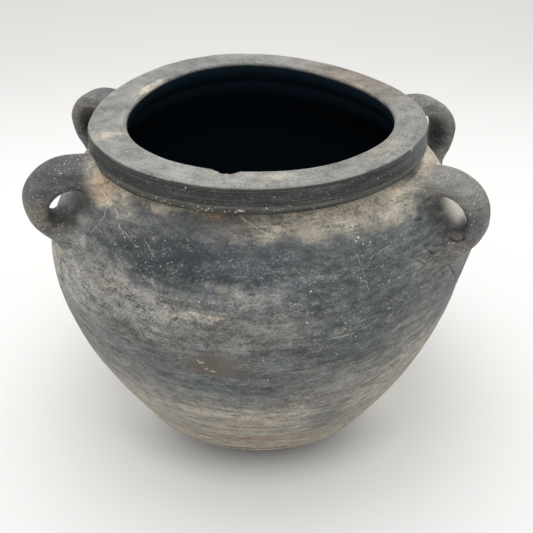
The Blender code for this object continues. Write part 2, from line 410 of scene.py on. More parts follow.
# How the mouth strays from a true, level round: waves round the pot, size, turn in degrees
RADIAL_LOBES = ((1, 0.5 * MM, -90), (2, 0.55 * MM, 44), (3, 1.15 * MM, 20))
HEIGHT_LOBES = ((0, 0.35 * MM, 0), (1, 0.75 * MM, -105), (2, 1.10 * MM, 69), (3, 0.80 * MM, 14))
MOUTH_SHIFT = (1.6 * MM, 0.7 * MM)


def lobes(angle, waves):
    """The sum of some waves round the pot at an angle."""
    total = np.zeros_like(angle)
    for count, size, turn in waves:
        total += size * np.cos(count * (angle + math.radians(turn)))
    return total


# Places where the wall stands proud of a true round: azimuth, height, half sizes, how much (mm)
BULGES = (
    (80, 143, 20, 17, 4.6),
    (82, 127, 20, 13, 5.0),
    (90, 171, 15, 8, 3.6),
    (-90, 171, 13, 8, 3.4),
    (-78, 118, 24, 26, -0.8),
)


def out_of_round(points):
    """The slow unevenness of the mouth, fading out towards the belly, and the wall's bulges."""
    angle = np.arctan2(points[..., 1], points[..., 0])
    radius = np.hypot(points[..., 0], points[..., 1])
    share = smooth(points[..., 2], 125 * MM, 185 * MM)
    near_axis = smooth(radius, 10 * MM, 60 * MM)
    grown = radius + share * near_axis * lobes(angle, RADIAL_LOBES)
    for azimuth, height, half_round, half_up, size in BULGES:
        u = around(azimuth_of(points), azimuth) / half_round
        v = (points[..., 2] / MM - height) / half_up
        grown = grown + near_axis * size * MM * np.exp(-u * u - v * v)
    height = points[..., 2] + share * near_axis * lobes(angle, HEIGHT_LOBES)
    mouth = share * near_axis * smooth(-radius, -98 * MM, -86 * MM)
    x = grown * np.cos(angle) + mouth * MOUTH_SHIFT[0]
    y = grown * np.sin(angle) + mouth * MOUTH_SHIFT[1]
    return np.stack([x, y, height], -1)


def bite(points, azimuth, radius, z, size, seed):
    """Push points out of an uneven ellipsoid, as where a chip has broken away. size: round, out, up."""
    outward, sideways = level_axes(azimuth)
    axes = np.stack([sideways, outward, UPWARD])
    centre = outward * radius + UPWARD * z
    q = (points - centre) @ axes.T / size
    reach = np.linalg.norm(q, axis=-1)
    coarse = value_noise(points, 3.0 * MM, seed)
    fine = value_noise(points, 1.3 * MM, seed + 1)
    wanted = 1 + 0.22 * coarse + 0.10 * fine
    grow = np.where(reach < wanted, wanted / np.maximum(reach, 0.05), 1.0)
    return centre + (q * grow[..., None] * size) @ axes


# ---- pieces ----

def make_piece(name, points, faces, material, node_names, slot_name, **attributes):
    """A mesh with its material and its named values for the shader, set in the place of CAD nodes."""
    mesh = bpy.data.meshes.new(name)
    mesh.from_pydata(points.reshape(-1, 3).tolist(), [], faces)
    mesh.validate()
    for key, values in attributes.items():
        layer = mesh.attributes.new(key, "FLOAT", "POINT")
        layer.data.foreach_set("value", np.ascontiguousarray(values, np.float32).ravel())
    mesh.shade_smooth()
    mesh.set_sharp_from_angle(angle=math.radians(50))
    mesh.materials.append(material)
    piece = bpy.data.objects.new(name, mesh)
    bpy.context.scene.collection.objects.link(piece)
    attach(piece, "root")
    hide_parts(*node_names)
    return piece


def finish_skin(grid, normals):
    """Relief along the normals, then the slow unevenness."""
    return out_of_round(grid + normals * (clay_relief(grid) - nick_depth(grid))[..., None])


def skin_normals(grid):
    """Normals of the body's plain skin."""
    radius = np.hypot(grid[..., 0], grid[..., 1])
    slope = body_slope(grid[..., 2])
    length = np.hypot(1.0, slope)
    return np.stack([grid[..., 0] / radius / length, grid[..., 1] / radius / length, -slope / length], -1)


def inside_mask(path_length, outer_count, columns):
    """1 on the rows that face the inside of the pot, 0 on the outer skin."""
    mask = (np.arange(path_length) >= outer_count).astype(float)
    return np.repeat(mask[:, None], columns, 1)


def strap_share(points, place):
    """1 where the surface belongs to the strap, 0 where it belongs to the wall."""
    return smooth(melted(points, place)[1], -5 * MM, 3 * MM)


def smear_roots(points, normals):
    """Draw the wall's skin out over the handle roots, and return where it belongs to a strap."""
    strap = np.zeros(len(points))
    for place in HANDLES:
        beside = np.abs(around(azimuth_of(points), HANDLES[place].azimuth)) < ROOT_SPREAD
        near = beside & (points[:, 2] > ROOT_FOOT)
        moved = push_out(points[near], normals[near], place, "wall", WALL_REACH)
        points[near] = moved
        normals[near] = field_normals(moved, place)
        strap[near] = strap_share(moved, place)
    return strap


def build_upper_wall(material):
    """The belly and shoulder, smeared over the handle roots, down inside from the lip to the joint."""
    part = math.sqrt((BELLY_RADIUS - LIP_RADIUS) / (BELLY_RADIUS - NECK_RADIUS))
    top = BELLY_HEIGHT + (NECK_HEIGHT - BELLY_HEIGHT) * part
    skin = even_path(wall_path(np.linspace(top, SCARF_OUTER, 400)), CELL)
    inner = even_path(wall_path(np.linspace(SCARF_INNER, LIP_FOOT, 120), WALL), HIDDEN_CELL)
    lip = np.array([(LIP_INNER, LIP_FOOT), (LIP_INNER, LIP_TOP), (LIP_RADIUS, LIP_TOP)])
    path = np.vstack([skin, inner, lip])
    outer = len(skin)
    grid = spin(path)
    normals = grid_normals(grid)
    points = grid[:outer].reshape(-1, 3)
    point_normals = skin_normals(grid[:outer]).reshape(-1, 3)
    strap = np.zeros(grid.shape[:2])
    strap[:outer] = smear_roots(points, point_normals).reshape(outer, -1)
    grid[:outer] = points.reshape(outer, -1, 3)
    normals[:outer] = point_normals.reshape(outer, -1, 3)
    inside = inside_mask(len(path), outer, AROUND)
    inside[-1] = 0
    return make_piece("pot_upper_wall", finish_skin(grid, normals), grid_faces(len(path), AROUND, True),
                      material, ["upper_wall"], "upper_wall_clay", inside=inside, strap=strap)


def build_lower_wall(material):
    """The wall from the joint down to the ledge, round the floor's edge and up again inside."""
    skin = even_path(wall_path(np.linspace(SCARF_OUTER, LEDGE, 400)), CELL)
    foot = np.array([(REBATE_RADIUS, LEDGE), (REBATE_RADIUS, FLOOR_TOP + 2 * MM)])
    inner = even_path(wall_path(np.linspace(FLOOR_TOP + 3 * MM, SCARF_INNER, 120), WALL), HIDDEN_CELL)
    path = np.vstack([skin, foot, inner])
    grid = spin(path)
    normals = grid_normals(grid)
    normals[:len(skin)] = skin_normals(grid[:len(skin)])
    inside = inside_mask(len(path), len(skin), AROUND)
    return make_piece("pot_lower_wall", finish_skin(grid, normals), grid_faces(len(path), AROUND, True),
                      material, ["lower_wall"], "lower_wall_clay", inside=inside)


def capped_faces(rows, columns):
    """Quads of a grid that closes round its columns, with a cap on its first and its last row."""
    faces = grid_faces(rows, columns)
    last = (rows - 1) * columns
    return faces + [list(range(columns)), list(range(last, last + columns))[::-1]]


def build_floor(material):
    """The floor disc, with a rounded and slightly worn foot."""
    ledge_radius = float(body_radius(LEDGE))
    turn = np.radians(np.linspace(0, 90, 12))
    corner_radius = REBATE_RADIUS + (ledge_radius - REBATE_RADIUS) * np.cos(turn)
    corner = np.stack([corner_radius, LEDGE * (1 - np.sin(turn))], -1)
    top = even_path([(AXIS_GAP, FLOOR_TOP), (REBATE_RADIUS, FLOOR_TOP), (REBATE_RADIUS, LEDGE),
                     (ledge_radius, LEDGE)], HIDDEN_CELL)
    under = even_path([(REBATE_RADIUS, 0), (AXIS_GAP, 0)], HIDDEN_CELL)
    path = np.vstack([top, corner[1:-1], under])
    grid = spin(path)
    relief = clay_relief(grid) * smooth(grid[..., 2], 0, 4 * MM)
    grid = grid + grid_normals(grid, closed_rows=False) * relief[..., None]
    hidden = (path[:, 1] > LEDGE - 0.01 * MM) & (path[:, 0] < ledge_radius - 4 * MM)
    inside = np.repeat(hidden.astype(float)[:, None], AROUND, 1)
    return make_piece("pot_floor", grid, capped_faces(len(path), AROUND), material,
                      ["floor_disc"], "floor_clay", inside=inside)


# The rim's section, as (radius, height) in mm: the flat top, the worn outer edge, the upright band with
# its low ridge, and the fold under it; then the hidden underside that sits over the wall's lip
RIM_OUTLINE = (
    (79.2, 193.0), (79.2, 195.4), (80.0, 196.7), (82.0, 197.3), (90.0, 197.5), (97.6, 197.4),
    (98.9, 197.1), (99.7, 196.4), (100.1, 195.0), (99.9, 191.5), (99.5, 188.6), (99.6, 187.6),
    (100.5, 186.6), (100.6, 185.6), (99.6, 184.9), (99.9, 184.0), (99.3, 183.2), (97.4, 182.0),
    (94.6, 181.2),
)
RIM_UNDERSIDE = (
    (93.2, 182.0), (93.0, 189.0), (87.0, 189.0), (87.0, 181.2), (84.8, 182.2), (80.4, 188.0),
    (79.3, 191.0),
)
FRONT_LEAN = 2.6 * MM       # how far the band's upper edge leans in at the front
BAND_START = (96.5 * MM, 98.5 * MM)
# Where a painted highlight runs round the rim's rounded outer edge, and its half width
EDGE_HIGHLIGHT = (99.3 * MM, 196.7 * MM)
EDGE_HIGHLIGHT_WIDTH = 0.65 * MM
FOLD_END = (182.8 * MM, 184.2 * MM)
RIDGE_HEIGHT = 186.2 * MM
RIDGE_WIDTH = 1.5 * MM
# Chips broken from the rim: azimuth, radius, height, half sizes round, out and up (mm), pattern number
CHIPS = (
    (-15.9, 77.2, 197.0, 4.0, 7.0, 12.0, 61),
    (-13.0, 77.2, 197.0, 4.2, 7.8, 12.0, 62),
    (-10.2, 77.2, 197.2, 4.0, 7.0, 11.0, 72),
    (-121, 78.4, 198.0, 7.0, 2.6, 2.4, 63),
    (-131, 79.0, 197.9, 3.0, 1.4, 1.4, 65),
    (58, 100.4, 196.6, 2.6, 1.6, 1.6, 64),
    (-34, 100.6, 196.6, 1.8, 1.1, 1.1, 66),
    (17, 100.5, 196.8, 1.6, 0.9, 0.9, 67),
    (-71, 100.6, 196.4, 2.0, 1.2, 1.2, 68),
    (83, 100.5, 196.5, 1.6, 1.0, 1.0, 69),
    (-5, 100.4, 185.6, 2.2, 0.8, 1.0, 70),
)


def rim_marks(radius, height):
    """How much each place belongs to the band, the painted highlight on its outer edge, its ridge and the
    fold under it.
    """
    outside = smooth(radius, *BAND_START)
    highlight_radius, highlight_height = EDGE_HIGHLIGHT
    return {
        "band": outside * (1 - smooth(height, RIM_TOP - 1.3 * MM, RIM_TOP - 0.5 * MM)),
        "worn": np.exp(-((radius - highlight_radius) ** 2 + (height - highlight_height) ** 2) / EDGE_HIGHLIGHT_WIDTH ** 2),
        "ridge": outside * np.exp(-((height - RIDGE_HEIGHT) / RIDGE_WIDTH) ** 2),
        "fold": outside * (1 - smooth(height, *FOLD_END)),
    }


def rim_relief(grid, radius, band):
    """Turning lines on the flat top, wavy lines on the band, slow waves and small lumps."""
    height = grid[..., 2]
    on_top = smooth(height, RIM_TOP - 1.2 * MM, RIM_TOP - 0.4 * MM)
    lines = np.sin(2 * np.pi * radius / (1.9 * MM) + 1.5 * layered_noise(grid, 60 * MM, 2, 51))
    line_share = 0.4 + 0.6 * smooth(value_noise(grid, 40 * MM, 52), -0.3, 0.5)
    turning = 0.035 * MM * on_top * line_share * lines
    wavy_height = height + 0.8 * MM * value_noise(grid, 50 * MM, 55)
    band_lines = 0.07 * MM * band * np.sin(2 * np.pi * wavy_height / (2.4 * MM))
    waves = 0.22 * MM * layered_noise(grid, 26 * MM, 2, 53)
    lumps = 0.06 * MM * layered_noise(grid, 5 * MM, 2, 54)
    return turning + band_lines + waves + lumps


def front_lean(grid, radius):
    """How far each place of the band is drawn in towards the axis."""
    frontal = smooth(-grid[..., 1] / radius, 0.15, 0.60)
    near_top = smooth(grid[..., 2], RIM_TOP - 9 * MM, RIM_TOP - 0.8 * MM)
    return FRONT_LEAN * frontal * near_top * smooth(radius, 90 * MM, 97 * MM)


def build_rim(material):
    """The flat rim with its upright band, its turning lines and its chips."""
    seen = even_path(np.array(RIM_OUTLINE) * MM, FINE_CELL)
    under = even_path(np.array(RIM_UNDERSIDE) * MM, 2 * FINE_CELL)
    path = soften(np.vstack([seen, under]))
    grid = spin(path)
    radius = np.hypot(grid[..., 0], grid[..., 1])
    height = grid[..., 2]
    marks = rim_marks(radius, height)
    shaped = grid + grid_normals(grid) * rim_relief(grid, radius, marks["band"])[..., None]
    chipped = shaped
    for azimuth, out, up, half_round, half_out, half_up, pattern in CHIPS:
        size = np.array([half_round, half_out, half_up]) * MM
        chipped = bite(chipped, azimuth, out * MM, up * MM, size, pattern)
    moved = np.linalg.norm(chipped - shaped, axis=-1)
    deep = smooth(moved, 0.9 * MM, 2.0 * MM)
    chip = smooth(moved, 0.02 * MM, 0.25 * MM) * (1 - deep)
    leaned = chipped.copy()
    leaned[..., :2] *= (1 - front_lean(grid, radius) / radius)[..., None]
    in_mouth = smooth(-radius, -80.2 * MM, -79.4 * MM)
    in_mouth = in_mouth * smooth(-height, 1.0 * MM - RIM_TOP, 3.0 * MM - RIM_TOP)
    under_top = smooth(-radius, -92 * MM, -90 * MM) * (height < RIM_TOP - 5 * MM)
    # Painted shade: the mouth's inner face gets the inside's near-black, and the deep parts of the chips
    # get it at half strength
    inside = np.maximum(np.maximum(in_mouth, under_top) * (1 - chip), 0.5 * deep)
    return make_piece("pot_rim", out_of_round(leaned), grid_faces(len(path), AROUND, True), material,
                      ["rim_ring"], "rim_clay", inside=inside, chip=chip, **marks)


def loop_points(place, theta):
    """Points of the strap's centreline at angles in degrees, and its outward direction there."""
    strap = HANDLES[place]
    outward, sideways = level_axes(strap.azimuth)
    angle = np.radians(theta)
    half_x = strap.half_out * MM
    half_z = np.where(np.sin(angle) > 0, strap.half_up, strap.half_down) * MM
    rise = (np.sin(angle) * half_z)[:, None]
    run = (strap.out * MM + half_x * np.cos(angle))[:, None]
    middle = outward * run + sideways * strap.lean * rise + UPWARD * (strap.height * MM + rise)
    turn = np.stack([np.cos(angle) * half_z, np.sin(angle) * half_x], -1)
    turn /= np.linalg.norm(turn, axis=-1, keepdims=True)
    return middle, turn[:, :1] * outward + turn[:, 1:] * UPWARD


def loop_ends(place):
    """The angles where the strap's centreline is deep enough under the wall's skin."""
    theta = np.linspace(170, -100, 541)
    middle, _ = loop_points(place, theta)
    deep = wall_distance(middle) < -ROOT_DEPTH
    return theta[deep & (theta > 30)].min(), theta[deep & (theta < 30)].max()


def keep_in_wall(points):
    """Draw points that lie too deep under the wall's skin back towards it."""
    radius = np.hypot(points[:, 0], points[:, 1])
    deeper = np.clip(-wall_distance(points) - CAP_DEPTH, 0, None)
    grown = 1 + deeper * np.hypot(1.0, body_slope(points[:, 2])) / radius
    return points * np.stack([grown, grown, np.ones_like(grown)], -1)


def build_handle(place, material):
    """A strap loop whose surface is found outwards from just inside the strap."""
    sideways = level_axes(HANDLES[place].azimuth)[1]
    rows, columns = STRAP_GRID
    theta = np.linspace(*loop_ends(place), rows)
    psi = np.linspace(0, 2 * np.pi, columns, endpoint=False)
    middle, loop_out = loop_points(place, theta)
    direction = loop_out[:, None, :] * np.cos(psi)[:, None] + sideways * np.sin(psi)[:, None]
    thickness, width = strap_size(np.clip(theta, LOOP_END, LOOP_START), place)
    m = STRAP_SQUARENESS
    reach = (np.abs(np.cos(psi))[None] / thickness[:, None]) ** m
    reach = (reach + (np.abs(np.sin(psi))[None] / width[:, None]) ** m) ** (-1 / m)
    start = middle[:, None, :] + direction * SEARCH_START * reach[..., None]
    moved = push_out(start.reshape(-1, 3), direction.reshape(-1, 3), place, "strap", STRAP_REACH)
    moved = keep_in_wall(moved)
    normals = field_normals(moved, place)
    # The strap's inner side, facing the wall: the shader paints shade there
    hollow = np.repeat(smooth(-np.cos(psi), 0.1, 0.9)[None, :], rows, 0)
    crease = near_chain(moved, CREASES.get(place, ()), CREASE_WIDTH)
    smear = near_chain(moved, SMEARS.get(place, ()), SMEAR_WIDTH)
    pressed = moved - normals * (CREASE_DEPTH * MM * crease)[:, None]
    grid = finish_skin(pressed, normals).reshape(rows, columns, 3)
    nodes = ["handle_" + place, "luting_coil_upper_" + place, "luting_coil_lower_" + place]
    faces = [face[::-1] for face in capped_faces(rows, columns)]
    return make_piece("pot_handle_" + place, grid, faces, material, nodes, "handle_clay",
                      strap=strap_share(moved, place), hollow=hollow, crease=crease, smear=smear)


# ---- materials ----

def tone(red, green, blue):
    """A screen colour, 0 to 255, as linear light."""
    values = []
    for channel in (red, green, blue):
        c = channel / 255
        values.append(c / 12.92 if c <= 0.04045 else ((c + 0.055) / 1.055) ** 2.4)
    return (*values, 1.0)


class Shader:
    """A material whose nodes are built by short calls that return output sockets."""

    def __init__(self, name):
        self.material = bpy.data.materials.new(name)
        self.material.use_nodes = True
        self.tree = self.material.node_tree
        self.surface = self.tree.nodes["Principled BSDF"]

    def feed(self, socket, value):
        """Link an output socket to an input, or set the input to a plain value."""
        if isinstance(value, bpy.types.NodeSocket):
            self.tree.links.new(value, socket)
        else:
            socket.default_value = value

    def node(self, kind, inputs, output=0, **settings):
        """Add a node, feed its inputs by name or number and return one of its outputs."""
        made = self.tree.nodes.new(kind)
        for key, value in settings.items():
            setattr(made, key, value)
        for key, value in inputs.items():
            self.feed(made.inputs[key], value)
        return made.outputs[output]

    def split(self, kind, value):
        """The outputs of a node that takes a place (XYZ) or a colour (Color) apart."""
        made = self.tree.nodes.new("ShaderNodeSeparate" + kind)
        self.feed(made.inputs[0], value)
        return made.outputs

    def math(self, operation, a, b=0.0):
        return self.node("ShaderNodeMath", {0: a, 1: b}, operation=operation)

    def times(self, a, b):
        return self.math("MULTIPLY", a, b)

    def plus(self, a, b):
        return self.math("ADD", a, b)

    def minus(self, a, b):
        return self.math("SUBTRACT", a, b)

    def vector(self, operation, a, b=(0.0, 0.0, 0.0)):
        output = "Value" if operation == "LENGTH" else "Vector"
        return self.node("ShaderNodeVectorMath", {0: a, 1: b}, output, operation=operation)

    def scaled(self, vector, factors):
        return self.vector("MULTIPLY", vector, factors)

    def noise(self, vector, scale, detail, roughness, output="Fac"):
        return self.node("ShaderNodeTexNoise", {"Vector": vector, "Scale": scale, "Detail": detail,
                         "Roughness": roughness}, output)

    def step(self, value, low, high, bottom=0.0, top=1.0):
        """From bottom at low to top at high, with a soft step between."""
        return self.node("ShaderNodeMapRange", {"Value": value, "From Min": low, "From Max": high,
                         "To Min": bottom, "To Max": top}, interpolation_type="SMOOTHSTEP")

    def mix(self, share, a, b, blend_type="MIX"):
        """Colour a where share is 0 and b where it is 1."""
        made = self.tree.nodes.new("ShaderNodeMix")
        made.data_type = "RGBA"
        made.blend_type = blend_type
        self.feed(made.inputs["Factor"], share)
        self.feed(made.inputs[6], a)
        self.feed(made.inputs[7], b)
        return made.outputs[2]

    def attribute(self, name):
        """A value named on the mesh, or 0 on a piece without it."""
        return self.node("ShaderNodeAttribute", {}, "Fac", attribute_name=name)


def pot_coordinates(s):
    """Millimetre position, (azimuth, height) and (azimuth, radius) in degrees and mm, height, radius."""
    mm = s.scaled(s.node("ShaderNodeTexCoord", {}, "Object"), (1000.0, 1000.0, 1000.0))
    x, y, height = s.split("XYZ", mm)
    turn = s.times(s.math("ARCTAN2", x, s.times(y, -1.0)), 180 / math.pi)
    radius = s.vector("LENGTH", s.scaled(mm, (1.0, 1.0, 0.0)))
    on_wall = s.node("ShaderNodeCombineXYZ", {0: turn, 1: height})
    on_rim = s.node("ShaderNodeCombineXYZ", {0: turn, 1: radius})
    return mm, on_wall, on_rim, height, radius


def drifted(s, place, mm, scale, reach):
    """A place shifted by smooth noise, with features of about 1 / scale mm, along each axis of reach."""
    noise = s.noise(mm, scale, 4.0, 0.6, "Color")
    return s.vector("ADD", place, s.scaled(s.vector("SUBTRACT", noise, (0.5, 0.5, 0.5)), reach))


def ragged_edge(s, place, scale):
    """Noise that is added to a stain's distance to break up its edge."""
    return s.times(s.minus(s.noise(place, scale, 9.0, 0.70), 0.5), 3.0)


def stain(s, colour, where, ragged, patch, softness=1.1):
    """Lay a soft oval patch over the colour: its centre, half size, tint and strength."""
    centre, half_size, tint, strength = patch
    offset = s.vector("SUBTRACT", where, (*centre, 0.0))
    distance = s.vector("LENGTH", s.scaled(offset, (1 / half_size[0], 1 / half_size[1], 0.0)))
    distance = s.plus(distance, ragged)
    share = s.step(distance, 1 + softness / 2, 1 - softness / 2, 0.0, strength)
    return s.mix(share, colour, tint)


def stains(s, colour, where, ragged, patches, share=None, softness=1.1):
    """Lay each patch over the colour, where share is 1 if a share is given."""
    for centre, half_size, tint, strength in patches:
        amount = strength if share is None else s.times(share, strength)
        colour = stain(s, colour, where, ragged, (centre, half_size, tint, amount), softness)
    return colour


def stroke(s, on_skin, start, end, width):
    """1 on a thin line between two places given by azimuth and height, 0 away from it."""
    a = Vector((start[0] * DEGREE_LENGTH, start[1], 0.0))
    b = Vector((end[0] * DEGREE_LENGTH, end[1], 0.0))
    offset = s.vector("SUBTRACT", on_skin, tuple(a))
    along = s.node("ShaderNodeVectorMath", {0: offset, 1: tuple((b - a) / (b - a).length_squared)},
                   "Value", operation="DOT_PRODUCT")
    along = s.math("MAXIMUM", s.math("MINIMUM", along, 1.0), 0.0)
    line = s.node("ShaderNodeCombineXYZ", {0: s.times(along, (b - a).x), 1: s.times(along, (b - a).y)})
    distance = s.vector("LENGTH", s.vector("SUBTRACT", offset, line))
    return s.step(distance, width, 0.3 * width)


CLAY = tone(106, 106, 104)
RIM_CLAY = tone(126, 126, 122)
RIM_CLOUD = tone(134, 134, 130)
STRAP_CLAY = tone(88, 90, 89)
NIGHT = tone(46, 52, 56)
SLATE = tone(78, 84, 87)
BLUE_SLATE = tone(66, 74, 78)
GREY_GREEN = tone(76, 83, 81)
DIM = tone(96, 98, 98)
ASH = tone(124, 123, 118)
PALE_ASH = tone(160, 158, 151)
TAN = tone(160, 152, 138)
WARM_GREY = tone(126, 118, 107)
PALE_TAN = tone(198, 187, 168)
CREAM = tone(216, 203, 181)
ORANGE = tone(170, 142, 114)
RUST = tone(140, 108, 78)
BROWN = tone(94, 84, 76)
CHALK = tone(214, 208, 198)
GRAIN = tone(204, 188, 162)
# The pot's inside: the clay's own near-black, deepened as painted shade
SOOT_AND_SHADE = tone(24, 37, 46)
BAND = tone(20, 26, 27)
BAND_LINE = tone(78, 78, 76)
RIDGE = tone(92, 91, 84)
# Near-black painted shade for the fold under the rim's band and the gap under the rim
FOLD_SHADE = tone(10, 11, 12)
FRESH_BREAK = tone(176, 158, 148)
CRACK = tone(30, 32, 34)
DARK_FLECK = tone(62, 66, 70)
PALE_FLECK = tone(152, 147, 138)

DUST_SHEEN = 0.05           # fine dust glows where the clay is seen at a slant
DUST_TINT = (1.0, 0.96, 0.90, 1.0)
ALL_ROUND = 500             # a half width in degrees that runs right round the pot

# Stains on the wall, with a few patches of painted light and painted sheen among them: centre and half size
# in (azimuth, height), colour, strength
WALL_STAINS = (
    ((0, 158), (ALL_ROUND, 13), SLATE, 0.70),
    ((0, 42), (ALL_ROUND, 34), TAN, 0.78),
    ((0, 5), (ALL_ROUND, 15), PALE_TAN, 0.80),
    ((170, 120), (60, 20), ASH, 0.6),
    ((130, 95), (24, 26), DIM, 0.7),
    ((-150, 100), (34, 18), DIM, 0.7),
    ((-18, 162), (22, 9), NIGHT, 0.90),
    ((-30, 155), (20, 7), NIGHT, 0.35),
    ((8, 160), (18, 9), BLUE_SLATE, 0.75),
    ((-26, 173), (24, 5), SLATE, 0.5),
    ((-2, 176), (16, 4), WARM_GREY, 0.45),
    ((40, 175), (32, 7), PALE_TAN, 0.70),
    # Partly painted light: pale tan dust under the rim, made strong to lift the rim's shadow on the neck
    ((-44, 179.5), (22, 2.6), PALE_TAN, 0.75),
    ((-52, 174), (10, 5), PALE_TAN, 0.3),
    # Partly painted light: cream dust and chalk on the neck beside the front-right handle, made pale to
    # lift the rim's shadow there
    ((70, 179), (20, 6), CREAM, 1.0),
    ((70, 178), (15, 5), CHALK, 0.6),
    ((-60, 134), (15, 22), PALE_ASH, 0.90),
    ((-36, 140), (14, 9), PALE_ASH, 0.65),
    ((-36, 142), (12, 4), TAN, 0.45),
    ((-22, 139), (11, 7), ASH, 0.75),
    ((-24, 127), (12, 10), ASH, 0.55),
    ((-1, 149), (7, 4), PALE_ASH, 0.55),
    ((-14, 138.5), (7, 1.8), PALE_TAN, 0.55),
    ((-6, 128), (14, 7), ASH, 0.45),
    ((27, 136), (18, 26), GREY_GREEN, 0.85),
    ((16, 118), (16, 13), GREY_GREEN, 0.70),
    ((10, 147), (9, 6), SLATE, 0.7),
    ((-10, 102), (14, 22), SLATE, 0.55),
    ((-40, 110), (12, 10), DIM, 0.35),
    ((12, 101), (10, 8), DIM, 0.6),
    ((14, 107), (6, 2.4), ASH, 0.5),
    ((-5, 93), (13, 8), BLUE_SLATE, 0.75),
    ((-27, 104), (7, 15), BLUE_SLATE, 0.45),
    ((-36, 78), (20, 7), DIM, 0.4),
    ((50, 104), (14, 20), ASH, 0.3),
    ((57, 113), (8, 18), SLATE, 0.6),
    ((52, 84), (18, 12), TAN, 0.7),
    ((0, 66), (22, 6), PALE_TAN, 0.15),
    ((-28, 134), (7, 7), PALE_ASH, 0.5),
    ((0, 130), (10, 6), ASH, 0.5),
    ((-68, 138), (8, 14), PALE_TAN, 0.5),
    ((-48, 147), (8, 5), DIM, 0.6),
    ((8, 155), (8, 5), SLATE, 0.5),
    ((60, 118), (10, 12), SLATE, 0.6),
    ((19, 54), (6, 20), DIM, 0.75),
    ((2, 27), (11, 8), WARM_GREY, 0.3),
    ((0, 31.0), (15, 2.0), RUST, 0.60),
    ((48, 146), (5, 5), ASH, 0.6),
    # Painted sheen: a pale patch towards the wall's right edge, in place of the sheen of the white
    # surroundings seen at a slant
    ((86, 163), (19, 22), PALE_TAN, 0.85),
    ((-92, 164), (12, 16), TAN, 0.7),
    ((-9, 179.6), (12, 0.9), RUST, 0.6),
    ((30, 179.4), (26, 1.2), PALE_TAN, 0.6),
)
BROWN_PATCH = ((-10, 111.5), (7.2, 7.8), BROWN, 0.75)

# Stains on the handles
STRAP_STAINS = (
    ((-64, 182), (9, 16), NIGHT, 0.55),
    ((-61, 162), (7, 9), WARM_GREY, 0.6),
    ((60, 178), (9, 6), ASH, 0.6),
    ((57, 148), (7, 4), WARM_GREY, 0.6),
    ((72, 158), (9, 12), SLATE, 0.6),
    ((62, 138), (9, 5), WARM_GREY, 0.4),
    ((-112, 178), (12, 8), WARM_GREY, 0.6),
    ((108, 178), (12, 8), ASH, 0.7),
)

# Dust that lies over the wall and the handle roots alike; the last patch is partly painted light
ROOT_DUST = (
    ((-62, 178), (12, 9), CREAM, 0.85),
    ((-58, 177), (5, 7), ORANGE, 0.70),
    ((-64, 174), (4, 5), ORANGE, 0.45),
    # Partly painted light: cream dust at the front-right handle's top, made pale to lift the rim's shadow
    ((70, 178), (15, 7), CREAM, 0.90),
)
ROOT_RADIUS = (113, 101)
# Painted reflection: a smooth pale patch on the wall seen through the front-right handle's loop, in place
# of the sheen of the white surroundings there; it is kept off the strap by radius (mm)
HOLE_SHEEN = ((71, 152), (8, 8.5), tone(206, 200, 186), 0.90)
HOLE_SHEEN_RADIUS = (130, 126)

# Thin scratches: ends in (azimuth, height), half width in mm, colour, strength
SCRATCHES = (
    ((-55.6, 175.6), (-52.5, 171.9), 0.40, CHALK, 0.70),
    ((-52.5, 171.9), (-50.3, 166.2), 0.36, CHALK, 0.60),
    ((-50.3, 166.2), (-51.9, 157.3), 0.30, CHALK, 0.45),
    ((-46.0, 168.5), (-40.0, 164.5), 0.30, CHALK, 0.50),
    ((-41.0, 166.0), (-34.0, 162.0), 0.26, CHALK, 0.40),
    ((-48.0, 171.0), (-44.5, 168.5), 0.32, CHALK, 0.60),
    ((-33.0, 166.0), (-28.0, 160.5), 0.24, CHALK, 0.40),
    ((27.0, 145.0), (26.6, 161.0), 0.28, CHALK, 0.32),
    ((-5.0, 178.5), (4.5, 171.5), 0.45, PALE_TAN, 0.65),
    ((12.0, 127.0), (22.0, 126.0), 0.35, CHALK, 0.35),
    ((30.0, 158.0), (40.0, 161.0), 0.26, CHALK, 0.35),
    ((-27.0, 152.0), (-24.5, 146.0), 0.35, CHALK, 0.35),
    ((50.0, 178.0), (49.5, 163.0), 0.40, PALE_TAN, 0.50),
    ((-24.0, 100.5), (-15.0, 101.5), 0.30, CHALK, 0.30),
    ((-38.0, 120.0), (-30.0, 118.5), 0.30, CHALK, 0.30),
    ((5.0, 60.0), (19.0, 61.5), 0.45, CHALK, 0.35),
    ((-16.0, 52.0), (6.0, 50.5), 0.50, PALE_TAN, 0.45),
    ((-12.0, 44.0), (20.0, 45.0), 0.50, PALE_TAN, 0.40),
)
CRACKS = (
    ((-21.0, 139.5), (-13.0, 138.0), 0.5, CRACK, 0.35),
    ((-28.0, 126.0), (-27.0, 121.0), 0.7, CRACK, 0.45),
    ((-33.0, 115.0), (-24.0, 112.5), 0.35, CRACK, 0.50),
    ((-30.0, 112.5), (-23.0, 112.0), 0.30, CRACK, 0.40),
    ((-53.5, 138.5), (-52.5, 135.0), 0.6, CRACK, 0.50),
    ((44.0, 160.5), (47.0, 159.0), 0.5, CRACK, 0.50),
) + tuple((start, end, line, CRACK, strength) for start, end, _, _, line, strength in NICKS if strength)
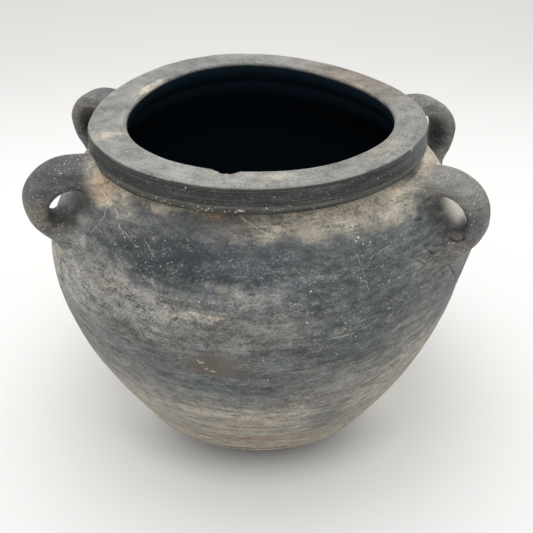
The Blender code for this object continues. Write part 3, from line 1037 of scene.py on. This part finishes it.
SPOTS = (
    ((-13.3, 112.9), (0.75, 0.55), FRESH_BREAK, 0.95),
    ((-12.2, 108.7), (0.42, 0.6), FRESH_BREAK, 0.9),
    ((-10.7, 107.2), (0.6, 0.6), FRESH_BREAK, 0.9),
    ((-5.4, 111.5), (0.85, 1.2), ASH, 0.75),
    ((-5.4, 111.5), (0.5, 0.7), BROWN, 0.85),
    ((5.8, 174.5), (1.3, 1.2), PALE_TAN, 0.8),
    ((14.0, 173.0), (1.2, 2.6), TAN, 0.8),
    ((28.3, 171.5), (0.30, 0.5), CHALK, 0.9),
    ((28.7, 166.8), (0.30, 0.5), CHALK, 0.9),
    ((27.6, 165.8), (0.25, 0.4), CHALK, 0.8),
    ((-9.0, 152.0), (1.6, 1.5), TAN, 0.4),
    ((-2.0, 27.5), (11, 1.2), RUST, 0.50),
    # Painted shade: a near-black line on the wall in the gap under the rim
    ((2.0, 181.4), (34, 1.4), FOLD_SHADE, 1.0),
)

# Stains on the rim: centre and half size in (azimuth, radius)
RIM_STAINS = (
    ((-72, 90), (6, 14), PALE_ASH, 0.35),
    ((-70.5, 90.5), (2.0, 10), PALE_TAN, 0.7),
    ((130, 90), (26, 16), tone(124, 113, 100), 0.8),
    ((52, 86), (12, 8), TAN, 0.4),
    ((-120, 80.5), (8, 3), PALE_TAN, 0.8),
    ((-15, 90), (26, 8), PALE_ASH, 0.45),
    ((5, 85), (8, 3), PALE_TAN, 0.35),
    ((-60, 96), (26, 3), ASH, 0.4),
    ((-160, 88), (34, 9), tone(112, 113, 110), 0.6),
)
BAND_DUST = ((76, 189), (24, 16), DIM, 0.6)     # in (azimuth, height)
# Pale grains caught on the rim's lower ridge and in the fold: azimuth, height, half size in mm
RIM_GRAINS = (
    (-32.4, 185.6, 0.50), (-31.0, 186.8, 0.40), (-29.4, 185.2, 0.55), (-28.0, 186.4, 0.40),
    (-26.6, 184.9, 0.45), (-17.4, 186.6, 0.40), (-16.3, 185.3, 0.60), (-15.2, 184.4, 0.50),
    (-14.3, 186.0, 0.50), (-13.2, 184.9, 0.40), (-9.6, 184.6, 0.50), (-8.2, 185.4, 0.40),
    (-6.5, 184.5, 0.55), (-22.5, 184.8, 0.40), (-36.0, 185.8, 0.45),
)


def shaded(s, colour, shade):
    """A colour times a grey factor."""
    return s.mix(1.0, colour, s.node("ShaderNodeCombineColor", {0: shade, 1: shade, 2: shade}), "MULTIPLY")


def centred(s, place, scale, detail, roughness):
    """Noise about zero."""
    return s.minus(s.noise(place, scale, detail, roughness), 0.5)


def mottle(s, colour, mm, contrast):
    """Fine broken dust, flecks and grain over a colour: dark flecks on pale clay, pale on dark."""
    streaky = s.scaled(mm, (1.0, 1.0, 1.5))
    drawn_out = s.scaled(mm, (1.0, 1.0, 2.8))
    paleness = s.step(s.split("Color", colour)[1], 0.06, 0.26)
    broken = centred(s, streaky, 0.55, 5.0, 0.85)
    clumps = centred(s, drawn_out, 0.11, 4.0, 0.65)
    blotch = centred(s, drawn_out, 0.035, 4.0, 0.6)
    change = s.plus(s.plus(s.times(broken, 3.0), s.times(clumps, 1.5)), s.times(blotch, 1.3))
    colour = shaded(s, colour, s.math("MAXIMUM", s.plus(1.0, s.times(change, contrast)), 0.35))
    clumped = s.times(clumps, 0.45)
    dark_fleck = s.step(s.plus(s.noise(streaky, 0.80, 3.0, 0.75), clumped), 0.47, 0.36)
    amount = s.times(s.times(dark_fleck, contrast), s.step(paleness, 0.0, 1.0, 0.25, 0.80))
    colour = s.mix(amount, colour, DARK_FLECK)
    elsewhere = s.vector("ADD", streaky, (31.0, 7.0, 3.0))
    pale_fleck = s.step(s.plus(s.noise(elsewhere, 0.75, 3.0, 0.75), clumped), 0.54, 0.68)
    colour = s.mix(s.times(s.times(pale_fleck, contrast), 0.55), colour, PALE_FLECK)
    return colour, broken


def specks(s, mm, size, share):
    """Round white grains: 1 on a grain. share is the part of the cells that hold one."""
    cells = s.tree.nodes.new("ShaderNodeTexVoronoi")
    s.feed(cells.inputs["Vector"], mm)
    s.feed(cells.inputs["Scale"], 1 / size)
    pick = s.split("Color", cells.outputs["Color"])
    held = s.math("LESS_THAN", pick[0], share)
    radius = s.plus(0.06, s.times(pick[1], 0.13))
    return s.times(held, s.step(s.minus(cells.outputs["Distance"], radius), 0.08, 0.0))


def finish_clay(s, mm, colour, broken, marks_down):
    """Specks, the near-black inside (partly painted shade), roughness and bump, shared by every clay piece.
    """
    zone = s.step(s.noise(mm, 0.045, 4.0, 0.6), 0.42, 0.62)
    gritty = s.times(s.attribute("ridge"), s.step(s.noise(mm, 0.05, 3.0, 0.6), 0.46, 0.58))
    share = s.plus(s.times(zone, 0.07), s.times(s.attribute("strap"), 0.42))
    share = s.plus(share, s.times(gritty, 0.45))
    colour = s.mix(s.times(specks(s, mm, 2.0, s.plus(share, 0.03)), 0.75), colour, CHALK)
    colour = s.mix(s.times(specks(s, mm, 1.1, share), 0.55), colour, CHALK)
    # Painted shade: where the mesh marks the inside (the pot's inner faces, the mouth's inner face, the
    # deep parts of chips) the colour goes near-black and the shine goes out; partly the clay's own black,
    # partly painted shade
    soot_and_shade = s.attribute("inside")
    rough = s.step(broken, -0.15, 0.15, 0.50, 0.72)
    pits = s.step(s.noise(mm, 0.55, 3.0, 0.6), 0.26, 0.36)
    relief = s.plus(s.times(broken, 0.9), s.times(pits, 0.30))
    relief = s.plus(relief, s.times(s.noise(mm, 0.9, 6.0, 0.65), 0.35))
    relief = s.minus(relief, s.times(marks_down, 0.9))
    bump = {"Strength": 0.6, "Distance": 0.45 * MM, "Height": relief}
    look = {
        "Base Color": s.mix(soot_and_shade, colour, SOOT_AND_SHADE),
        "Roughness": s.math("MAXIMUM", rough, soot_and_shade),
        "Specular IOR Level": s.step(soot_and_shade, 0.0, 1.0, 0.36, 0.0),
        "Sheen Weight": s.step(soot_and_shade, 0.0, 1.0, DUST_SHEEN, 0.0),
        "Sheen Roughness": 0.30,
        "Sheen Tint": DUST_TINT,
        "Normal": s.node("ShaderNodeBump", bump, "Normal"),
    }
    for name, value in look.items():
        s.feed(s.surface.inputs[name], value)
    return s.material


def stained_ground(s, mm, on_wall, radius):
    """The clay's clouded greys with the stains of the wall, the straps and their roots (a few of them
    painted light), and painted shade on the straps' inner sides.
    """
    where = drifted(s, on_wall, mm, 0.05, (14.0, 16.0, 0.0))
    flat = s.scaled(mm, (1.0, 1.0, 2.2))
    ragged = ragged_edge(s, flat, 0.085)
    strap = s.attribute("strap")
    cloud = s.step(s.noise(flat, 0.02, 5.0, 0.6), 0.40, 0.60)
    colour = s.mix(s.times(cloud, 0.35), CLAY, ASH)
    colour = stains(s, colour, where, ragged, WALL_STAINS)
    colour = s.mix(s.times(strap, 0.80), colour, STRAP_CLAY)
    # Painted shade: the inner side of each strap, facing the wall, is darkened
    colour = s.mix(s.times(s.attribute("hollow"), 0.78), colour, NIGHT)
    colour = stains(s, colour, where, ragged, STRAP_STAINS, strap)
    return stains(s, colour, where, ragged, ROOT_DUST, s.step(radius, *ROOT_RADIUS)), ragged


def wiping_lines(s, colour, on_wall, height):
    """Fine and wide level lines, as left by wiping, stronger low down."""
    low = s.step(height, 70.0, 90.0, 1.0, 0.0)
    lines = s.noise(s.scaled(on_wall, (0.09, 1.25, 0.0)), 1.0, 4.0, 0.65)
    wide_lines = s.noise(s.scaled(on_wall, (0.035, 0.34, 0.0)), 1.0, 5.0, 0.60)
    darkest = s.step(low, 0.0, 1.0, 0.88, 0.76)
    palest = s.step(low, 0.0, 1.0, 1.13, 1.24)
    colour = shaded(s, colour, s.step(lines, 0.25, 0.75, darkest, palest))
    return shaded(s, colour, s.step(wide_lines, 0.25, 0.75, 0.84, 1.18))


def scratched(s, colour, mm, on_wall):
    """Thin scratches and cracks that fade in and out along their length, and where the cracks are."""
    on_skin = drifted(s, s.scaled(on_wall, (DEGREE_LENGTH, 1.0, 0.0)), mm, 0.4, (2.4, 2.4, 0.0))
    faded = s.step(s.noise(mm, 0.25, 4.0, 0.7), 0.34, 0.50)
    carved = 0.0
    for start, end, width, tint, strength in SCRATCHES + CRACKS:
        line = s.times(stroke(s, on_skin, start, end, width), faded)
        colour = s.mix(s.times(line, strength), colour, tint)
        if tint == CRACK:
            carved = s.math("MAXIMUM", carved, line)
    return colour, carved


def wall_material():
    """Fired black clay: clouded greys, wiped dust, stains, scratches, cracks, grain and specks, with some
    patches of painted light and shade.
    """
    s = Shader("body_clay")
    mm, on_wall, _, height, radius = pot_coordinates(s)
    colour, ragged = stained_ground(s, mm, on_wall, radius)
    low_contrast = s.step(height, 40.0, 90.0, 0.75, 1.15)
    contrast = s.math("MINIMUM", low_contrast, s.step(height, 158.0, 172.0, 1.15, 0.80))
    contrast = s.times(contrast, s.step(s.attribute("strap"), 0.0, 1.0, 1.0, 0.8))
    colour, broken = mottle(s, colour, mm, contrast)
    colour = wiping_lines(s, colour, on_wall, height)
    # Painted reflection: the pale patch behind the front-right handle's loop, laid over the mottle so that
    # it stays mostly smooth
    behind = s.times(s.step(radius, *HOLE_SHEEN_RADIUS), s.step(broken, -0.15, 0.15, 0.70, 1.0))
    colour = stains(s, colour, on_wall, s.times(ragged, 0.25), (HOLE_SHEEN,), behind, 0.8)
    colour = stain(s, colour, on_wall, s.times(ragged, 0.35), BROWN_PATCH, 0.6)
    colour, carved = scratched(s, colour, mm, on_wall)
    colour = stains(s, colour, on_wall, s.times(broken, 1.5), SPOTS, softness=0.5)
    colour = s.mix(s.times(s.attribute("smear"), 0.60), colour, TAN)
    colour = s.mix(s.times(s.attribute("crease"), 0.85), colour, CRACK)
    return finish_clay(s, mm, colour, broken, carved)


def band_clay(s, mm, on_wall, ragged):
    """The dark upright band: level lines, a worn ridge and painted shade in the fold under it."""
    lines = s.noise(s.scaled(on_wall, (0.03, 1.6, 0.0)), 1.0, 4.0, 0.6)
    colour = s.mix(s.step(lines, 0.46, 0.70), BAND, BAND_LINE)
    patchy = s.step(s.noise(mm, 0.05, 5.0, 0.65), 0.60, 0.72)
    colour = s.mix(s.times(patchy, 0.35), colour, WARM_GREY)
    worn_lines = s.times(s.attribute("ridge"), s.step(lines, 0.40, 0.58, 0.25, 1.0))
    colour = s.mix(s.times(worn_lines, 0.8), colour, RIDGE)
    colour = stain(s, colour, on_wall, ragged, BAND_DUST)
    # Painted shade: the fold under the band is darkened nearly to black, a little unevenly
    shade_in_fold = s.times(s.attribute("fold"), s.step(s.noise(mm, 0.03, 3.0, 0.6), 0.38, 0.52, 0.45, 1.0))
    return s.mix(s.times(shade_in_fold, 0.95), colour, FOLD_SHADE)


def rim_material():
    """The rim's paler, dusty top with turning lines, its dark upright band and its chips."""
    s = Shader("rim_clay")
    mm, on_wall, on_rim, _, radius = pot_coordinates(s)
    ragged = ragged_edge(s, mm, 0.11)
    cloud = s.step(s.noise(mm, 0.03, 5.0, 0.6), 0.40, 0.60)
    colour = s.mix(s.times(cloud, 0.5), RIM_CLAY, RIM_CLOUD)
    colour = stains(s, colour, drifted(s, on_rim, mm, 0.05, (10.0, 6.0, 0.0)), ragged, RIM_STAINS)
    turned = s.noise(s.scaled(on_rim, (0.05, 1.5, 0.0)), 1.0, 4.0, 0.65)
    colour = shaded(s, colour, s.step(turned, 0.28, 0.72, 0.78, 1.24))
    rings = s.step(s.noise(s.scaled(on_rim, (0.03, 2.6, 0.0)), 1.0, 3.0, 0.6), 0.50, 0.62)
    dusty_rings = s.times(s.step(radius, 79.5, 84.0, 1.0, 0.0), rings)
    colour = s.mix(s.times(dusty_rings, 0.40), colour, PALE_TAN)

    band = s.attribute("band")
    colour = s.mix(s.times(band, 0.95), colour, band_clay(s, mm, on_wall, ragged))
    colour, broken = mottle(s, colour, mm, s.step(band, 0.0, 1.0, 0.70, 0.40))
    # Painted highlight: a pale line along the rim's rounded outer edge, broken up by noise
    edge = s.times(s.attribute("worn"), s.step(s.noise(mm, 0.12, 6.0, 0.7), 0.36, 0.54))
    colour = s.mix(s.times(edge, 0.50), colour, PALE_ASH)
    colour = s.mix(s.times(s.attribute("chip"), 0.85), colour, FRESH_BREAK)
    grains = [((turn, height), (size / 1.75, size), GRAIN, 0.80) for turn, height, size in RIM_GRAINS]
    colour = stains(s, colour, on_wall, s.times(broken, 2.0), grains, softness=0.6)
    return finish_clay(s, mm, colour, broken, 0.0)


# ---- stage ----

FLOOR_REACH = 3.0
FLOOR_TONE = (0.645, 0.642, 0.632, 1.0)
# Painted shade: the floor's colour darkens to this tone between these distances behind the pot, where the
# light falls off
FAR_SHADE_TONE = (0.50, 0.497, 0.485, 1.0)
FAR_START = 0.15
FAR_END = 0.75
FLOOR_GLOW = 0.20           # the floor's own light, which keeps the shadows on it soft
SURROUND = 0.83
# The contact shadow in front of the foot: where it fades out with distance from the axis and towards
# the back (m), and how dark it is at its darkest
CONTACT_RING = (0.088, 0.125)
CONTACT_FRONT = (-0.100, -0.040)
CONTACT_DEPTH = 0.78


def build_stage():
    """A pale floor with painted shade: it darkens a little far behind the pot, and a painted contact shadow
    lies in a ring in front of its foot.
    """
    half = FLOOR_REACH
    mesh = bpy.data.meshes.new("floor")
    corners = [(-half, -half, 0), (half, -half, 0), (half, half, 0), (-half, half, 0)]
    mesh.from_pydata(corners, [], [(0, 1, 2, 3)])
    floor = bpy.data.objects.new("floor", mesh)
    bpy.context.scene.collection.objects.link(floor)
    s = Shader("pale_floor")
    place = s.node("ShaderNodeTexCoord", {}, "Object")
    y = s.split("XYZ", place)["Y"]
    far = s.step(y, FAR_START, FAR_END)
    away = s.vector("LENGTH", s.scaled(place, (1.0, 1.0, 0.0)))
    clear = s.math("POWER", s.step(away, *CONTACT_RING), 0.6)
    in_front = s.step(y, *CONTACT_FRONT, CONTACT_DEPTH, 0.0)
    lit = s.minus(1.0, s.times(in_front, s.minus(1.0, clear)))
    s.feed(s.surface.inputs["Base Color"], shaded(s, s.mix(far, FLOOR_TONE, FAR_SHADE_TONE), lit))
    s.feed(s.surface.inputs["Roughness"], 0.8)
    s.feed(s.surface.inputs["Specular IOR Level"], 0.0)
    s.feed(s.surface.inputs["Emission Color"], (1.0, 0.995, 0.98, 1.0))
    s.feed(s.surface.inputs["Emission Strength"], s.times(lit, FLOOR_GLOW))
    mesh.materials.append(s.material)


# Soft round lamps: name, place, width in m, power
LAMPS = (
    ("overhead", (-0.05, 0.25, 1.30), 1.1, 9.5),
    ("front_fill", (0.0, -1.5, 0.9), 1.3, 1.6),
)


def area_light(name, place, target, size, power):
    """A soft round lamp that shines at a target."""
    data = bpy.data.lights.new(name, "AREA")
    data.shape = "DISK"
    data.size = size
    data.energy = power
    lamp = bpy.data.objects.new(name, data)
    lamp.location = place
    lamp.rotation_euler = (Vector(target) - Vector(place)).to_track_quat("-Z", "Y").to_euler()
    bpy.context.scene.collection.objects.link(lamp)


def build_lights():
    """White surroundings and the lamps."""
    world = bpy.data.worlds.new("studio")
    world.use_nodes = True
    surround = world.node_tree.nodes["Background"].inputs
    surround["Color"].default_value = (1.0, 1.0, 1.0, 1.0)
    surround["Strength"].default_value = SURROUND
    bpy.context.scene.world = world
    for name, place, size, power in LAMPS:
        area_light(name, place, (0, 0, RIM_TOP / 2), size, power)


CAMERA_PLACE = (0.0, -0.4081, 0.3648)
CAMERA_TARGET = (0.0055, 0.0, 0.0845)
CAMERA_ROLL = -0.227
SENSOR_WIDTH = 36           # mm, as is the focal length
FOCAL_LENGTH = 48.6304


def build_camera():
    """A camera in front of the pot and above it, with a slight roll."""
    data = bpy.data.cameras.new("camera")
    data.sensor_width = SENSOR_WIDTH
    data.lens = FOCAL_LENGTH
    data.clip_start = 0.01
    camera = bpy.data.objects.new("camera", data)
    sight = Vector(CAMERA_TARGET) - Vector(CAMERA_PLACE)
    camera.rotation_euler = sight.to_track_quat("-Z", "Y").to_euler()
    camera.rotation_euler.rotate_axis("Z", math.radians(CAMERA_ROLL))
    camera.location = CAMERA_PLACE
    bpy.context.scene.collection.objects.link(camera)
    bpy.context.scene.camera = camera
    bpy.context.scene.view_settings.view_transform = "Standard"


body_clay = wall_material()
rim_clay = rim_material()
build_floor(body_clay)
build_lower_wall(body_clay)
build_upper_wall(body_clay)
build_rim(rim_clay)
for handle_place in HANDLES:
    build_handle(handle_place, body_clay)
build_stage()
build_lights()
build_camera()
